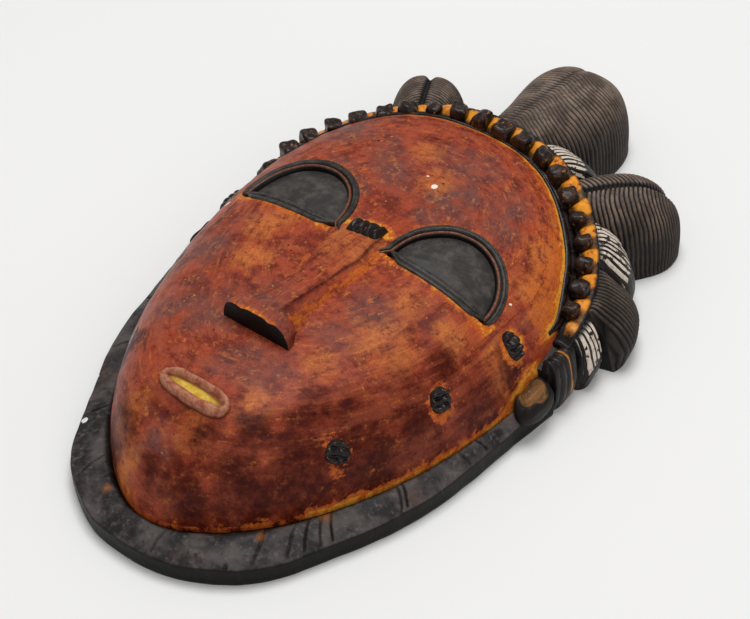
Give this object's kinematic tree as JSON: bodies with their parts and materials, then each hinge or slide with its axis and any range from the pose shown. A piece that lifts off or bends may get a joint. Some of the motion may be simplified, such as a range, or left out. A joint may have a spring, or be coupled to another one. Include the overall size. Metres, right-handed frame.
{
  "type": "carved wall mask",
  "caption": "Oval carved face mask with half-moon eyes, a beaded hair band and coiled hair buns, lying on its flat, hollowed back.",
  "frame": {"origin": "middle of the outline, on the plane that the flat back rests on", "axes": "+Y towards the crown of the head, +Z out of the face, +X towards the face's own left"},
  "size_m": [0.2022, 0.333, 0.0645],
  "materials": {
    "face_paint": "satin red-brown stain over an orange ground, worn",
    "lip_paint": "satin pinkish brown",
    "mouth_paint": "satin mustard yellow",
    "eye_paint": "matte charcoal",
    "black_paint": "satin black, worn",
    "collar_paint": "semi-matte grey-black with carving marks",
    "hair_paint": "semi-matte brown-black, worn brown on the ridges",
    "wrap_paint": "semi-matte black with cream stripes",
    "band_paint": "satin orange-yellow with dark stain in the corners",
    "bead_paint": "satin black, worn",
    "worn_wood": "matte worn tan wood"
  },
  "bodies": {
    "root": {"face_shell": "face_paint", "nose": "face_paint", "lips": "lip_paint", "mouth_inlay": "mouth_paint", "bridge_mark": "black_paint", "collar": "collar_paint", "hair_cap": "hair_paint", "headband": "band_paint", "hairline_strip": "black_paint", "bun_crown": "hair_paint", "eye_plate_left": "eye_paint", "eyelid_left": "eye_paint", "brow_left": "black_paint", "temple_mark_left": "black_paint", "cheek_mark_left": "black_paint", "jaw_mark_left": "black_paint", "ear_left": "worn_wood", "bun_upper_left": "hair_paint", "bun_lower_left": "hair_paint", "striped_wrap_a_left": "wrap_paint", "striped_wrap_b_left": "wrap_paint", "striped_wrap_c_left": "wrap_paint", "side_lock_left": "hair_paint", "eye_plate_right": "eye_paint", "eyelid_right": "eye_paint", "brow_right": "black_paint", "temple_mark_right": "black_paint", "cheek_mark_right": "black_paint", "jaw_mark_right": "black_paint", "ear_right": "worn_wood", "bun_upper_right": "hair_paint", "bun_lower_right": "hair_paint", "striped_wrap_a_right": "wrap_paint", "striped_wrap_b_right": "wrap_paint", "striped_wrap_c_right": "wrap_paint", "side_lock_right": "hair_paint", "bead_01": "bead_paint", "bead_02": "bead_paint", "bead_03": "bead_paint", "bead_04": "bead_paint", "bead_05": "bead_paint", "bead_06": "bead_paint", "bead_07": "bead_paint", "bead_08": "bead_paint", "bead_09": "bead_paint", "bead_10": "bead_paint", "bead_11": "bead_paint", "bead_12": "bead_paint", "bead_13": "bead_paint", "bead_14": "bead_paint", "bead_15": "bead_paint", "bead_16": "bead_paint", "bead_17": "bead_paint", "bead_18": "bead_paint", "bead_19": "bead_paint", "bead_20": "bead_paint"}
  },
  "joints": []
}
